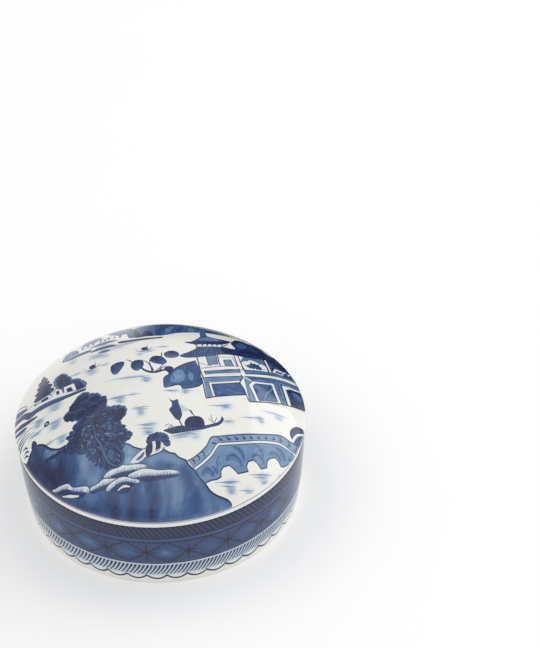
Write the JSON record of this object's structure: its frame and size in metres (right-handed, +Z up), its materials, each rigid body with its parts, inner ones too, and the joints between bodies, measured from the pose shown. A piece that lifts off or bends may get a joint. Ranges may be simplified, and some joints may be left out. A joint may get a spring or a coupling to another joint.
{
  "type": "lidded trinket box",
  "caption": "Round glazed porcelain trinket box: a low footed base with a lift-off domed lid located by an inner ring, printed all over in blue.",
  "frame": {"origin": "centre of the foot, on the surface that the box stands on", "axes": "+Z up, along the axis that the base and lid are turned about"},
  "size_m": [0.102, 0.102, 0.0559],
  "materials": {
    "base_glaze": "gloss",
    "lid_glaze": "gloss"
  },
  "bodies": {
    "base": {"base": "base_glaze"},
    "lid": {"lid": "lid_glaze"}
  },
  "joints": [
    {"name": "lid_lift", "type": "slide", "parent": "base", "child": "lid", "axis": [0, 0, 1], "range_m": [0, 0.06]}
  ]
}
